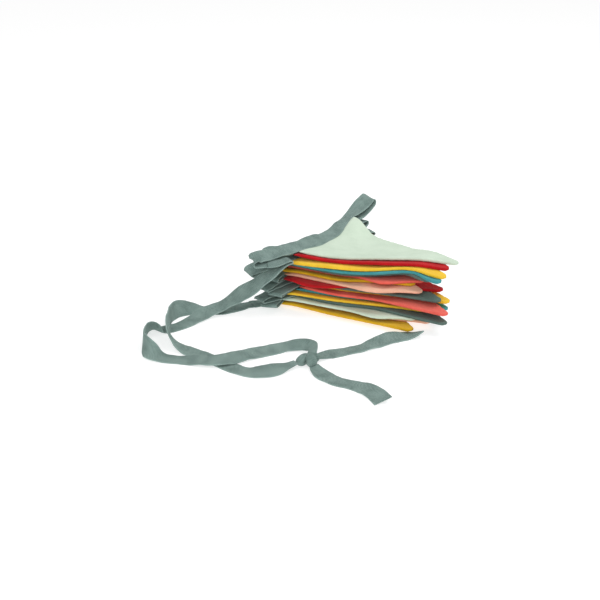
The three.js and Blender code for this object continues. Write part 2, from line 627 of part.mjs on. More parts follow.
const bunting = new THREE.Group();
PENNANTS.forEach((row, layer) => {
  const name = `pennant_${String(layer + 1).padStart(2, '0')}`;
  bunting.add(part(name, row.cloth, pennantGeometry(layer)));
});
bunting.add(part('heading_tape', 'tape', ribbonGeometry(headingRows(), 2)));
bunting.add(part('tie_upper', 'tape', ribbonGeometry(TIE_UPPER, 2)));
bunting.add(part('tie_lower', 'tape', ribbonGeometry(TIE_LOWER, 2)));
bunting.add(part('tie_end_right', 'tape', ribbonGeometry(END_RIGHT, 2)));
bunting.add(part('tie_end_front', 'tape', ribbonGeometry(END_FRONT, 2)));
bunting.add(part('tie_knot', 'tape', knotGeometry()));
bunting.position.set(-FOOTPRINT_CENTRE.x, -FOOTPRINT_CENTRE.y, 0);

export default bunting;
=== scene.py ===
"""Fabric bunting put away: eighteen cotton pennants folded zig-zag on a twill tape.

Lengths in the tables are millimetres in the layout frame, whose origin lies near the stack's
near corner on the floor; put() shifts them to the row frame and turns them into metres.
"""
import math

import bpy
import numpy as np
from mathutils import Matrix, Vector


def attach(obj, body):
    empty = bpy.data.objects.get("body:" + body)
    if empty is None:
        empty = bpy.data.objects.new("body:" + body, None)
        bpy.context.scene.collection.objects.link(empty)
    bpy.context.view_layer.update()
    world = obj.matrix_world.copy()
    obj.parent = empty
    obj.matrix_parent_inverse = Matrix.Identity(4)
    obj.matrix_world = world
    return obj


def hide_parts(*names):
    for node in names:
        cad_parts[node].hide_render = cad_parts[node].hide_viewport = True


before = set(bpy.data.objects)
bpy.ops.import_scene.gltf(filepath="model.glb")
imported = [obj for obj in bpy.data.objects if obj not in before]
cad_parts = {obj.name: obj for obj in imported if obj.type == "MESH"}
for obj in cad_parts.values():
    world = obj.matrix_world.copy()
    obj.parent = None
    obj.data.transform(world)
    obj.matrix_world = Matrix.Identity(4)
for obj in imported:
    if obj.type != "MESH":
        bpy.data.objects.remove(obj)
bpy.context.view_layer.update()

# Driving sizes, the same as the solids have
PENNANT_WIDTH = 145.0
PENNANT_LENGTH = 186.0
TIP_RADIUS = 5.0
TAPE_WIDTH = 22.0
TAPE_THICK = 1.6
SEAM_GAP = 0.5
HEADING_DEG = 58.0
NEAR_CORNER = (0.0, -8.0)
FOOTPRINT_CENTRE = (4.57, -64.45)
FAR_LIFT = 5.0
LEFT_START = -8.0
LEFT_RUN = 56.0
BOWL_DEEP = 13.0
BOWL_STEP = 1.3
SHEET_STEP = 3.35
SHEET_BLEND = 0.8
COLLAR_DEG = 28.0
COLLAR_AT = 54.0
COLLAR_SPREAD = 40.0
LEAN_DEG = 28.0
LEAN_Y = -12.0
SHEET_THICK = 2.4
MM = 0.001

# How a sheet swells. Shares of its length: where the sag and the hump lie and how wide
# they are. Then the spread of the far corner's lift and the share of it that each lower
# sheet keeps; where the bowl behind the near edges starts and is full, and how sharply it
# clears the far corner; where the collar starts, is steep and ends; and where the lean of
# the folds starts and is full.
SAG_AT = 0.24
HUMP_AT = 0.76
SWELL_WIDE = 0.2
FAR_SPREAD = 45.0
FAR_FADE = 0.62
BOWL_RAMP = (-5.0, 85.0)
BOWL_CLEAR = 1.5
COLLAR_OFF = 2.0
COLLAR_RAMP = (0.0, 8.0)
COLLAR_MOST = 12.0
LEAN_RAMP = (6.0, 44.0)

# Least height of a tape's points, and half the least height of a pennant's upper face
FLOOR_CLEAR = 0.02

# Camera: looks along +Y, down by ELEVATION_DEG, at TARGET
ELEVATION_DEG = 21.0
DISTANCE = 1600.0
TARGET = (0.0, 17.6)
LENS_MM = 73.3
SENSOR_MM = 36.0

# One row per pennant from the top of the stack down, as in the solids: heights at the
# stack's near corner, LEFT_RUN left of it, at its far corner and tip, the sag, the hump, the
# place of the pennant's own tip, its turn, the length that its waves take up, and how far
# its near edge is drawn in, at which share of the way to the tip.
COLUMNS = (
    "near", "left", "far", "tip", "dip", "hump",
    "tip_x", "tip_y", "swing", "slack", "bow", "bow_at",
)
PENNANTS = [
    ("mint", (76, 76, 79, 69.8, 5.4, 4, 197, -42, -1, 0, 0, 0.5)),
    ("red", (72.4, 64, 72.4, 65.2, 5.2, 3.6, 184, -52, 2, 4, 0, 0.5)),
    ("yellow", (63.6, 58.6, 68.4, 60.2, 0.6, 6, 179, -68, 4, 0, 12, 0.7)),
    ("teal", (59.8, 56, 64.6, 57, 2.4, 6, 172, -75, 9, 4, 16, 0.76)),
    ("sage", (55.4, 51, 61.2, 53.4, 4, 6, 161, -64, 10, 10, 14, 0.8)),
    ("coral", (51.6, 47.6, 56.6, 50, 4, -1.5, 155, -46, 7, 16, -20, 0.8)),
    ("mustard", (48, 43.4, 52.1, 46.4, 3.8, -1.5, 143, -47, 7, 24, -4, 0.5)),
    ("peach", (44.4, 39, 47.5, 42.6, 4.2, -3, 150, -65, 11, 22, -16, 0.7)),
    ("red", (41.2, 33.4, 43, 39.4, 4.8, -2.8, 178, -50, 2, 0, -22, 0.22)),
    ("sage", (37.4, 29, 38.4, 34, 4.4, -1, 172, -77, 12, 2, 0, 0.5)),
    ("yellow", (33.2, 24, 33.9, 30.2, 3.2, -0.4, 184, -70, 9, 0, 0, 0.5)),
    ("coral", (28.6, 20.6, 29.3, 24, 1.3, 2, 178, -100, 16, 0, 6, 0.5)),
    ("teal", (24.6, 16.4, 24.8, 20.8, 1, 0.4, 182, -72, 8, 2, 0, 0.5)),
    ("yellow", (20.8, 13.4, 20.2, 17.6, 0.8, 0.4, 155, -70, 9, 14, 0, 0.5)),
    ("sage", (17, 9.6, 15.6, 13, 0.6, 1, 177, -104, 16, 0, 8, 0.5)),
    ("mint", (13.2, 7, 11, 10.2, 0.4, 0.8, 141, -83, 15, 22, -13, 0.8)),
    ("peach", (9.5, 3.4, 6.4, 7, 0.2, 0, 160, -82, 13.5, 4, -8, 0.8)),
    ("mustard", (5.8, 0.8, 1.8, 3, 0, 0, 136, -101, 20, 2, 0, 0.5)),
]
COUNT = len(PENNANTS)
ROWS = [dict(zip(COLUMNS, row)) for _, row in PENNANTS]


def ease(x, low, high):
    """Smooth step: 0 below low, 1 above high, and 3f^2 - 2f^3 of the share f between."""
    f = np.clip((x - low) / (high - low), 0.0, 1.0)
    return f * f * (3.0 - 2.0 * f)


def plan(degrees):
    """Unit vector in the floor plane at that angle from +X."""
    return np.array([math.cos(math.radians(degrees)), math.sin(math.radians(degrees))])


HEADING = plan(HEADING_DEG)
OUTWARD = plan(HEADING_DEG - 90.0)
EDGE = math.hypot(PENNANT_LENGTH, PENNANT_WIDTH / 2.0)
EDGE_COS = PENNANT_LENGTH / EDGE
EDGE_SIN = PENNANT_WIDTH / 2.0 / EDGE


def put(points):
    """Layout millimetres to metres in the row frame."""
    shift = np.array([FOOTPRINT_CENTRE[0], FOOTPRINT_CENTRE[1], 0.0])
    return (np.asarray(points, dtype=float) - shift) * MM


# Camera

scene = bpy.context.scene
scene.view_settings.view_transform = "Standard"
scene.view_settings.look = "None"

camera_data = bpy.data.cameras.new("camera")
camera_data.lens = LENS_MM
camera_data.sensor_width = SENSOR_MM
camera_data.clip_end = 20.0
camera = bpy.data.objects.new("camera", camera_data)
scene.collection.objects.link(camera)
drop = math.radians(ELEVATION_DEG)
eye = (TARGET[0], TARGET[1] - DISTANCE * math.cos(drop), DISTANCE * math.sin(drop))
camera.location = put(eye)
camera.rotation_euler = (math.radians(90.0) - drop, 0.0, 0.0)
scene.camera = camera


# Shader maths


class Shade:
    """A socket of a material; + - * / and abs on it add Math nodes."""

    def __init__(self, finish, socket):
        self.finish = finish
        self.socket = socket

    def math(self, operation, *values):
        return self.finish.node("ShaderNodeMath", {"operation": operation}, *values)

    def __add__(self, other):
        return self.math("ADD", self, other)

    def __radd__(self, other):
        return self.math("ADD", other, self)

    def __sub__(self, other):
        return self.math("SUBTRACT", self, other)

    def __rsub__(self, other):
        return self.math("SUBTRACT", other, self)

    def __mul__(self, other):
        return self.math("MULTIPLY", self, other)

    def __rmul__(self, other):
        return self.math("MULTIPLY", other, self)

    def __truediv__(self, other):
        return self.math("DIVIDE", self, other)

    def __rtruediv__(self, other):
        return self.math("DIVIDE", other, self)

    def __abs__(self):
        return self.math("ABSOLUTE", self)

    def sine(self):
        return self.math("SINE", self)

    def wave(self, period):
        """Triangle wave from 0 to 1 and back over that period."""
        return self.math("PINGPONG", self / (0.5 * period), 1.0)

    def step(self, low, high):
        """0 below low and 1 above high, eased between."""
        settings = {"interpolation_type": "SMOOTHSTEP"}
        return self.finish.node("ShaderNodeMapRange", settings, self, low, high, 0.0, 1.0)


class Finish:
    """A material under construction; node() adds any node and returns its first output."""

    def __init__(self, name):
        self.material = bpy.data.materials.new(name)
        self.material.use_nodes = True
        self.tree = self.material.node_tree
        self.shader = self.tree.nodes["Principled BSDF"]

    def node(self, kind, settings=None, *values, output=0, **named):
        made = self.tree.nodes.new(kind)
        for key, value in (settings or {}).items():
            setattr(made, key, value)
        sockets = [(made.inputs[i], value) for i, value in enumerate(values)]
        sockets += [(made.inputs[key.replace("_", " ")], value) for key, value in named.items()]
        for socket, value in sockets:
            if isinstance(value, Shade):
                self.tree.links.new(value.socket, socket)
            elif value is not None:
                socket.default_value = value
        return Shade(self, made.outputs[output])

    def flat(self):
        """The piece's own cloth coordinates in metres, along and across."""
        uv = self.node("ShaderNodeUVMap", {"uv_map": "cloth"})
        along = self.node("ShaderNodeSeparateXYZ", None, uv)
        return uv, along, Shade(self, along.socket.node.outputs[1])

    def noise(self, vector, scale, detail, stretch=(1.0, 1.0, 1.0)):
        """Cloudy noise of that many cells a metre, finer by stretch along each direction."""
        placed = self.node("ShaderNodeMapping", None, vector, Scale=stretch)
        return self.node("ShaderNodeTexNoise", None, placed, Scale=scale, Detail=detail)

    def mix(self, share, first, second):
        """Colour between first and second."""
        made = self.tree.nodes.new("ShaderNodeMix")
        made.data_type = "RGBA"
        for index, value in ((0, share), (6, first), (7, second)):
            if isinstance(value, Shade):
                self.tree.links.new(value.socket, made.inputs[index])
            else:
                made.inputs[index].default_value = value
        return Shade(self, made.outputs[2])

    def set(self, name, value):
        if isinstance(value, Shade):
            self.tree.links.new(value.socket, self.shader.inputs[name])
        else:
            self.shader.inputs[name].default_value = value

    def bump(self, height, distance, strength, under=None):
        """A normal from height, that many metres deep, laid over an earlier one."""
        made = self.node("ShaderNodeBump", None, Strength=strength, Distance=distance, Height=height)
        if under is not None:
            self.tree.links.new(under.socket, made.socket.node.inputs["Normal"])
        return made


def linear(red, green, blue):
    """A colour given in 0 to 255 as a screen shows it, as linear light."""
    levels = [value / 255.0 for value in (red, green, blue)]
    curve = [v / 12.92 if v <= 0.04045 else ((v + 0.055) / 1.055) ** 2.4 for v in levels]
    return tuple(curve) + (1.0,)


# Cloth colours, light side and shaded side
CLOTHS = {
    "mint": ((212, 228, 209), (184, 203, 182)),
    "red": ((200, 24, 32), (146, 10, 20)),
    "yellow": ((247, 206, 64), (222, 172, 34)),
    "teal": ((78, 164, 168), (48, 124, 130)),
    "sage": ((100, 122, 114), (72, 91, 85)),
    "coral": ((242, 112, 98), (212, 78, 68)),
    "mustard": ((224, 178, 38), (192, 142, 18)),
    "peach": ((243, 190, 163), (224, 158, 130)),
}
# Spacing of the plain weave's threads in metres
THREAD = 0.00042


def cotton(name):
    """Plain-woven cotton: threads over and under by the product of two sines, uneven
    threads, painted shade that darkens the rims where the sheets meet, and a soft fuzz as sheen."""
    light, shaded = (linear(*levels) for levels in CLOTHS[name])
    finish = Finish(name + "_cotton")
    uv, along, across = finish.flat()
    turn = math.pi / THREAD
    warp = (along * turn).sine()
    weft = (across * turn).sine()
    over = (warp * weft).step(-0.25, 0.25)
    threads = abs(warp) * over + abs(weft) * (1.0 - over)
    slub_across = finish.noise(uv, 260.0, 2.0, (1.0, 9.0, 1.0))
    slub_along = finish.noise(uv, 240.0, 2.0, (9.0, 1.0, 1.0))
    slub = slub_across + slub_along
    cloud = finish.noise(uv, 38.0, 4.0)
    edge = finish.node("ShaderNodeAttribute", {"attribute_name": "edge"}, output=2)
    # painted shade: the colour darkens within 3.5 mm of each rim, where the sheets meet
    painted_rim_shade = 1.0 - edge.step(0.0, 0.35)
    # share of the darker colour: random tone, weave and slubs, plus the painted rim shade
    tone_and_painted_edge = cloud.step(0.3, 0.75) * 0.35 + (1.0 - threads) * 0.14 + painted_rim_shade * 0.2 + (slub - 1.0) * 0.5
    finish.set("Base Color", finish.mix(tone_and_painted_edge, light, shaded))
    finish.set("Roughness", 0.84 + threads * 0.08)
    finish.set("Specular IOR Level", 0.15)
    finish.set("Sheen Weight", 0.08)
    finish.set("Sheen Roughness", 0.5)
    weave = finish.bump(threads * 0.7 + slub * 0.5, 0.00012, 0.55)
    finish.set("Normal", finish.bump(cloud, 0.0016, 0.35, weave))
    return finish.material


# In metres: spacing of the twill's ribs and of its fine threads, distance between the
#  turns of the herringbone, and where the painted highlight along the tape's edges begins and is full
RIB_PITCH = 0.0021
FINE_THREAD = 0.0005
RIB_TURN = 0.0055
EDGE_HIGHLIGHT = (0.0097, 0.0108)


def twill():
    """Herringbone twill tape: slanting ribs that turn back every few millimetres across
    the tape, finer threads along them, creases across it, and edges painted paler as a highlight."""
    light = linear(161, 185, 178)
    shaded = linear(78, 102, 96)
    finish = Finish("sage_twill")
    uv, along, across = finish.flat()
    slant = across.wave(2.0 * RIB_TURN) * RIB_TURN
    ribs = ((along + slant) * (2.0 * math.pi / RIB_PITCH)).sine() * 0.5 + 0.5
    threads = (across * (2.0 * math.pi / FINE_THREAD)).sine() * 0.5 + 0.5
    cloud = finish.noise(uv, 60.0, 4.0)
    slub = finish.noise(uv, 420.0, 2.0, (1.0, 5.0, 1.0))
    # painted highlight: the colour pales near each of the tape's two edges
    edge_highlight = abs(across).step(*EDGE_HIGHLIGHT)
    uneven = cloud.step(0.3, 0.75) * 0.35 + (1.0 - ribs) * 0.9
    # share of the darker colour: random tone, ribs and slubs, less the painted edge highlight
    tone_and_painted_edge = uneven + (slub - 0.5) * 0.9 - edge_highlight * 0.35 - 0.1
    finish.set("Base Color", finish.mix(tone_and_painted_edge, light, shaded))
    finish.set("Roughness", 0.82 + ribs * 0.1)
    finish.set("Specular IOR Level", 0.15)
    finish.set("Sheen Weight", 0.1)
    finish.set("Sheen Roughness", 0.5)
    weave = finish.bump(ribs * 0.8 + threads * 0.2 + slub * 0.4, 0.0006, 0.9)
    creases = finish.noise(uv, 75.0, 1.0, (0.35, 1.0, 1.0)) + cloud * 0.4
    finish.set("Normal", finish.bump(creases, 0.006, 0.55, weave))
    return finish.material


# Meshes


def tube_mesh(name, rings, uv, edge=None):
    """A closed skin over rings of points: rings[i, j] is point j of ring i, neighbouring
    rings are joined by four-sided faces, and each end ring is closed by a strip of faces
    from side to side. uv is the flat cloth coordinate of each point and edge, if given,
    each point's distance from the sewn edge in centimetres."""
    count, round_count = rings.shape[:2]
    i, j = np.meshgrid(np.arange(count - 1), np.arange(round_count), indexing="ij")
    k = (j + 1) % round_count
    here = i * round_count
    sides = np.stack([here + j, here + k, here + round_count + k, here + round_count + j], -1)
    half = np.arange(round_count // 2 - 1)
    far = round_count - 1 - half
    start = np.stack([half, far, far - 1, half + 1], -1)
    end = start[:, ::-1] + (count - 1) * round_count
    faces = np.concatenate([sides.reshape(-1, 4), start, end])
    mesh = bpy.data.meshes.new(name)
    mesh.from_pydata(put(rings.reshape(-1, 3)).tolist(), [], faces.tolist())
    layer = mesh.uv_layers.new(name="cloth")
    layer.data.foreach_set("uv", (uv.reshape(-1, 2) * MM)[faces.ravel()].ravel())
    if edge is not None:
        shade = mesh.attributes.new("edge", "FLOAT", "POINT")
        shade.data.foreach_set("value", edge.ravel())
    mesh.polygons.foreach_set("use_smooth", np.ones(len(faces), dtype=bool))
    mesh.validate()
    mesh.update()
    return mesh


def place(name, mesh, material, slot, *nodes):
    """Puts a finished mesh into the scene as one piece that stands for those nodes."""
    piece = bpy.data.objects.new(name, mesh)
    scene.collection.objects.link(piece)
    mesh.materials.append(material)
    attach(piece, "root")
    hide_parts(*nodes)
    return piece


# Pennants


def own_height(layer, x, y):
    """A sheet's own height over any spot: the plane through the stack's near corner, far
    corner and tip, less the sag, the bowl behind the near edges and the fall to the left,
    plus the hump, a ripple, the lift of the far corner, the top sheet's collar and the
    lean of the folds left of the stack."""
    row = ROWS[layer]
    dx, dy = x - NEAR_CORNER[0], y - NEAR_CORNER[1]
    along = dx * HEADING[0] + dy * HEADING[1]
    out = dx * OUTWARD[0] + dy * OUTWARD[1]
    tip_share = out / PENNANT_LENGTH
    far_share = along / PENNANT_WIDTH - tip_share / 2.0
    far_rise, tip_rise = row["far"] - row["near"], row["tip"] - row["near"]
    level = row["near"] + far_rise * far_share + tip_rise * tip_share
    sag = row["dip"] * np.exp(-(((tip_share - SAG_AT) / SWELL_WIDE) ** 2))
    hump = row["hump"] * np.exp(-(((tip_share - HUMP_AT) / SWELL_WIDE) ** 2))
    ripple = 0.8 * np.sin(7.0 * tip_share + 3.0 * far_share + 0.22 * layer) * ease(tip_share, 0.0, 0.3)
    to_far = np.hypot(along - PENNANT_WIDTH, out) / FAR_SPREAD
    lift = FAR_LIFT * FAR_FADE**layer * np.exp(-(to_far**2))
    from_near_edge = along * EDGE_COS - out * EDGE_SIN
    bowl = max(0.0, BOWL_DEEP - BOWL_STEP * layer) * ease(from_near_edge, *BOWL_RAMP)
    bowl = bowl * (1.0 - np.exp(-((BOWL_CLEAR * to_far) ** 2)))
    inward = np.maximum(0.0, -out - COLLAR_OFF)
    spread = np.exp(-(((along - COLLAR_AT) / COLLAR_SPREAD) ** 2))
    collar_deg = COLLAR_DEG * spread if layer == 0 else 0.0
    rise = np.tan(np.radians(collar_deg)) * inward * ease(inward, *COLLAR_RAMP)
    collar = np.minimum(COLLAR_MOST, rise)
    lean_deg = LEAN_DEG * (1.0 - layer / (COUNT - 1.0))
    lean = math.tan(math.radians(lean_deg)) * (y - LEAN_Y) * ease(-x, *LEAN_RAMP)
    fall = (row["near"] - row["left"]) * np.maximum(0.0, (LEFT_START - x) / LEFT_RUN)
    return level - sag - bowl - fall + hump + ripple + lift + collar + lean


def sheet_height(layer, x, y):
    """A sheet's height as it lies: its own height, or a sheet's step over the one below
    where that is more, blended where the two are about equal."""
    height = np.maximum(SHEET_THICK / 2.0, own_height(COUNT - 1, x, y))
    for upper in range(COUNT - 2, layer - 1, -1):
        own = own_height(upper, x, y)
        least = height + SHEET_STEP
        height = (own + least + np.hypot(own - least, SHEET_BLEND)) / 2.0
    return height


def pennant_axes(layer):
    """A pennant's near corner, heading direction, tip direction and length."""
    row = ROWS[layer]
    heading = plan(HEADING_DEG - row["swing"])
    outward = plan(HEADING_DEG - row["swing"] - 90.0)
    length = PENNANT_LENGTH - row["slack"]
    tip = np.array([row["tip_x"], row["tip_y"]], dtype=float)
    return tip - heading * PENNANT_WIDTH / 2.0 - outward * length, heading, outward, length


# Rings along a pennant and points across one face, the radius of its rim, the width of its
# turned seam, how far it runs in under the tape, how far its last ring stays off the tip,
# the least and most half thickness, the gap to the next sheet, and the height and reach of
# the rim's pucker and the height of the soft waves inside it
ALONG_COUNT = 84
ACROSS_COUNT = 40
EDGE_ROUND = 1.5
SEAM_WIDE = 5.0
TUCK = 1.6
TIP_SHORT = 0.12
HALF_THIN = 0.9
HALF_THICK = 1.9
FACE_GAP = 0.1
PUCKER_HIGH = 0.35
PUCKER_REACH = 6.0
WAVE_HIGH = 0.25


def pennant_rings(layer):
    """Rings round a pennant from its bound edge to its tip. Each goes over the top from
    rim to rim and back below. The two faces stand apart by a share of the room to the
    next sheets: a quarter circle at the rim, full over the turned seam, and a little
    less inside it. The rim puckers by sines whose phase comes from the layer."""
    corner, heading, outward, length = pennant_axes(layer)
    down = np.linspace(0.0, 1.0, ALONG_COUNT)
    spaced = down + 0.04 * np.sin(2.0 * math.pi * down) / math.pi
    out = -TUCK + (length + TUCK - TIP_SHORT) * spaced
    to_tip = length - np.maximum(out, 0.0)
    slope = (PENNANT_WIDTH / 2.0 - TIP_RADIUS) / length
    near_tip = np.minimum(to_tip / TIP_RADIUS, 1.0)
    half = slope * to_tip + TIP_RADIUS * np.sqrt(np.maximum(0.0, 1.0 - (1.0 - near_tip) ** 2))
    swing = np.linspace(0.0, math.pi, ACROSS_COUNT + 1)
    over = -np.cos(swing) * (1.0 - 0.35 * np.sin(swing) ** 2 * np.abs(np.cos(swing)))
    share = np.concatenate([over[:-1], over[::-1][:-1]])
    face = np.concatenate([np.ones(ACROSS_COUNT), -np.ones(ACROSS_COUNT)])
    across = half[:, None] * share[None, :]
    rim = (half[:, None] - np.abs(across)) * math.cos(math.atan(slope))
    rim = np.minimum(rim, to_tip[:, None])
    run = out[:, None] / 10.0
    seed = 1.7 * layer
    side = np.sign(share)[None, :]
    pucker = np.sin(5.1 * run + seed + side) + 0.7 * np.sin(8.3 * run + 2.3 * seed - 2.0 * side)
    waver = PUCKER_HIGH * pucker * np.exp(-rim / PUCKER_REACH) * ease(half[:, None], 2.0, 14.0)
    row = ROWS[layer]
    bow_share = (out / length - row["bow_at"]) / SWELL_WIDE
    drawn = row["bow"] * np.exp(-(bow_share**2)) * ease(to_tip, 0.0, 40.0)
    along = PENNANT_WIDTH / 2.0 + across + 0.45 * waver * side
    along = along + drawn[:, None] * np.maximum(0.0, -share)[None, :]
    x = corner[0] + heading[0] * along + outward[0] * out[:, None]
    y = corner[1] + heading[1] * along + outward[1] * out[:, None]
    middle = sheet_height(layer, x, y)
    above, below = np.full_like(middle, HALF_THICK), middle
    if layer > 0:
        above = (sheet_height(layer - 1, x, y) - middle) / 2.0
    if layer < COUNT - 1:
        below = (middle - sheet_height(layer + 1, x, y)) / 2.0
    room = np.clip(np.where(face > 0, above, below) - FACE_GAP, HALF_THIN, HALF_THICK)
    closing = np.sqrt(np.clip(1.0 - (1.0 - np.minimum(rim / EDGE_ROUND, 1.0)) ** 2, 0.0, 1.0))
    seam = 1.0 - 0.3 * ease(rim, SEAM_WIDE - 1.0, SEAM_WIDE + 4.0)
    bound = 0.35 + 0.65 * ease(out[:, None], 0.0, 9.0)
    plump = closing * seam * bound
    soft = WAVE_HIGH * np.sin(0.09 * across + 0.3 * run + seed) * np.sin(0.5 * run + 2.0 * seed)
    lean = waver * 0.5 * ease(out[:, None], 0.0, 20.0) + soft * ease(rim, 2.0, 14.0) * 0.6
    z = middle + lean + face[None, :] * plump * room
    z = np.maximum(z, FLOOR_CLEAR * (1.0 + face[None, :]))
    flat = np.stack([across, np.broadcast_to(out[:, None], across.shape)], -1)
    return np.stack([x, y, z], -1), flat, rim / 10.0


cottons = {name: cotton(name) for name in CLOTHS}
for layer, (cloth, _) in enumerate(PENNANTS):
    number = f"{layer + 1:02d}"
    rings, flat, edge = pennant_rings(layer)
    name = "pennant_cloth_" + number
    mesh = tube_mesh(name, rings, flat, edge)
    piece = place(name, mesh, cottons[cloth], cloth + "_cloth", "pennant_" + number)


# Tape


def smooth_path(rows, spacing):
    """A curve through rows of (x, y, z, azimuth, elevation, share of width). Between two
    rows every column follows a cubic whose slope at a row is the mean of the slopes on
    both sides, each weighted by the other side's length. Stations lie spacing apart."""
    rows = np.asarray(rows, dtype=float)
    gaps = np.linalg.norm(np.diff(rows[:, :3], axis=0), axis=1)[:, None]
    slopes = np.diff(rows, axis=0) / gaps
    lean = np.empty_like(rows)
    lean[0], lean[-1] = slopes[0], slopes[-1]
    lean[1:-1] = (slopes[:-1] * gaps[1:] + slopes[1:] * gaps[:-1]) / (gaps[:-1] + gaps[1:])
    fine = 24
    at = np.linspace(0.0, len(rows) - 1.0, (len(rows) - 1) * fine + 1)
    i = np.minimum(at.astype(int), len(rows) - 2)
    f = (at - i)[:, None]
    bend = lean[i] * gaps[i] * f * (1.0 - f) ** 2 - lean[i + 1] * gaps[i] * f * f * (1.0 - f)
    curve = rows[i] + (rows[i + 1] - rows[i]) * f * f * (3.0 - 2.0 * f) + bend
    run = np.concatenate([[0.0], np.cumsum(np.linalg.norm(np.diff(curve[:, :3], axis=0), axis=1))])
    stations = np.linspace(0.0, run[-1], max(8, int(run[-1] / spacing)))
    return np.stack([np.interp(stations, run, column) for column in curve.T], -1), stations


def unit(vectors):
    """Each vector over its own length."""
    return vectors / np.maximum(np.linalg.norm(vectors, axis=-1, keepdims=True), 1e-9)


# Points across one face of the tape, and the radius of its edge
TAPE_ACROSS = 16
TAPE_ROUND = 0.9


def tape_rings(rows, spacing=1.6, wave=0.0, cup=0.0, seed=0.0, thick=TAPE_THICK, wound=False):
    """Rings round a flat tape on a smooth path. The width points as the rows say, square
    to the path; the section is flat with round edges. wave lifts both edges by slow sines
    of the run, and cup bends the section upwards by the square of the distance across, or
    outwards all the way round where the tape is wound."""
    path, run = smooth_path(rows, spacing)
    centre = path[:, :3]
    tangent = unit(np.gradient(centre, axis=0))
    azimuth, elevation = np.radians(path[:, 3]), np.radians(path[:, 4])
    level = np.cos(elevation)
    width = np.stack([np.cos(azimuth) * level, np.sin(azimuth) * level, np.sin(elevation)], -1)
    width = unit(width - tangent * np.sum(width * tangent, -1, keepdims=True))
    normal = np.cross(tangent, width)
    turn = np.linspace(0.0, math.pi, TAPE_ACROSS + 1)
    over = np.cos(turn) * (1.0 - 0.3 * np.sin(turn) ** 2 * np.abs(np.cos(turn)))
    share = np.concatenate([over[:-1], over[::-1][:-1]])
    face = np.concatenate([np.ones(TAPE_ACROSS), -np.ones(TAPE_ACROSS)])
    half = TAPE_WIDTH / 2.0 * path[:, 5:6]
    across = half * share[None, :]
    rim = half - np.abs(across)
    closing = 1.0 - (1.0 - np.minimum(rim / TAPE_ROUND, 1.0)) ** 2
    depth = thick / 2.0 * np.sqrt(np.clip(closing, 0.0, 1.0))
    slow = run[:, None] / 10.0
    side = np.sign(share)[None, :]
    ripple = np.sin(1.1 * slow + seed + 1.3 * side) + 0.6 * np.sin(2.3 * slow + 2.0 * seed - side)
    lifted = (share[None, :] ** 2) * (cup + wave * ripple)
    fine = 0.12 * np.sin(4.7 * slow + 3.0 * side + seed) * np.abs(share[None, :]) ** 3
    facing = np.where((normal[:, 2:3] < 0.0) & (not wound), -1.0, 1.0)
    offset = face[None, :] * depth + fine + lifted * facing
    sideways = width[:, None, :] * across[..., None]
    points = centre[:, None, :] + sideways + normal[:, None, :] * offset[..., None]
    points[..., 2] = np.maximum(points[..., 2], FLOOR_CLEAR)
    flat = np.stack([np.broadcast_to(run[:, None], across.shape), share[None, :] * half], -1)
    return points, flat, run[-1]


# Plan place of each near fold, and the two heights and the tilt of the top one
NEAR_FOLDS = [
    (-58, -33), (-46, -5), (-66, -19), (-54, -6), (-37, -14),
    (-48, -20), (-32, -27), (-52, -22), (-40, -30),
]
TOP_FOLD = (75.5, 69)
TOP_FOLD_TILT = 19.0
# Reach past the far corner, side towards the tips, lift, gap, tilt and steepness of each
# far fold
FAR_FOLDS = [
    (47, 8, 20, 9, 14, 0.46),
    (44, 0, 2, 7, 0, 0),
    (26, 18, -1, 6, 0, 0),
    (36, 12, -2, 5, 0, 0),
    (31, 14, -1, 5, 0, 0),
    (38, 8, -1, 5, 0, 0),
    (27, 0, -1, 5, 0, 0),
    (34, 10, -1, 4.6, 0, 0),
    (24, 2, -1, 3.8, 0, 0),
]
# Share of the bound edge and distance that the tape stands off there
STRIP_STOPS = [
    (0.04, 1.9), (0.16, 0.3), (0.27, 0.1), (0.38, 0),
    (0.6, 0), (0.8, 0), (0.92, 0.4), (1.02, 1.8),
]
# Distance back from a fold's end, and share of the way from its upper side to its lower
HAIRPIN = [(16, 0), (7, 0), (1.4, 0.14), (0, 0.5), (1.4, 0.86), (7, 1), (16, 1)]
# Where the heading leaves the stack's lowest sheet, as the rows of the ties below
HEADING_END = [
    (-44.5, 9.6, 1.6, 131, 0, 1),
    (-53, 3.6, 0.8, 121, 0, 1),
    (-62, -0.6, 0.8, 114, 0, 1),
]


def strip_rows(layer):
    """Rows of the tape along a pennant's bound edge, from its near to its far corner."""
    corner, heading, outward, _ = pennant_axes(layer)
    azimuth = math.degrees(math.atan2(heading[1], heading[0])) + 90.0
    rows = []
    for share, off in STRIP_STOPS:
        start = corner + heading * PENNANT_WIDTH * share
        inner = SEAM_GAP + off
        low = float(sheet_height(layer, *(start - outward * inner)))
        high = float(sheet_height(layer, *(start - outward * (inner + TAPE_WIDTH))))
        slope = math.atan2(high - low, TAPE_WIDTH)
        spot = start - outward * (inner + math.cos(slope) * TAPE_WIDTH / 2.0)
        z = max(TAPE_THICK / 2.0, (low + high) / 2.0)
        rows.append((spot[0], spot[1], z, azimuth, math.degrees(slope), 1.0))
    return rows


def hairpin(end, start_a, start_b, height_a, height_b, tilt, sideways):
    """Rows from one strip round a fold's end to the other, each side on its own line."""
    end = np.asarray(end, dtype=float)
    lines = [unit(end - np.asarray(start[:2], dtype=float)) for start in (start_a, start_b)]
    rows = []
    for back, fall in HAIRPIN:
        share = float(ease(fall, 0.1, 0.9))
        line = lines[0] * (1.0 - share) + lines[1] * share
        spot = end - line * back
        side = np.array([-line[1], line[0]]) * sideways * TAPE_WIDTH / 2.0

        def height(at):
            return float(height_a(*at)) * (1.0 - fall) + float(height_b(*at)) * fall

        rise = math.degrees(math.atan2(height(spot + side) - height(spot - side), TAPE_WIDTH))
        azimuth = math.degrees(math.atan2(side[1], side[0]))
        if sideways < 0:
            azimuth %= 360.0
        rows.append((spot[0], spot[1], height(spot), azimuth, tilt + rise, 1.0))
    return rows


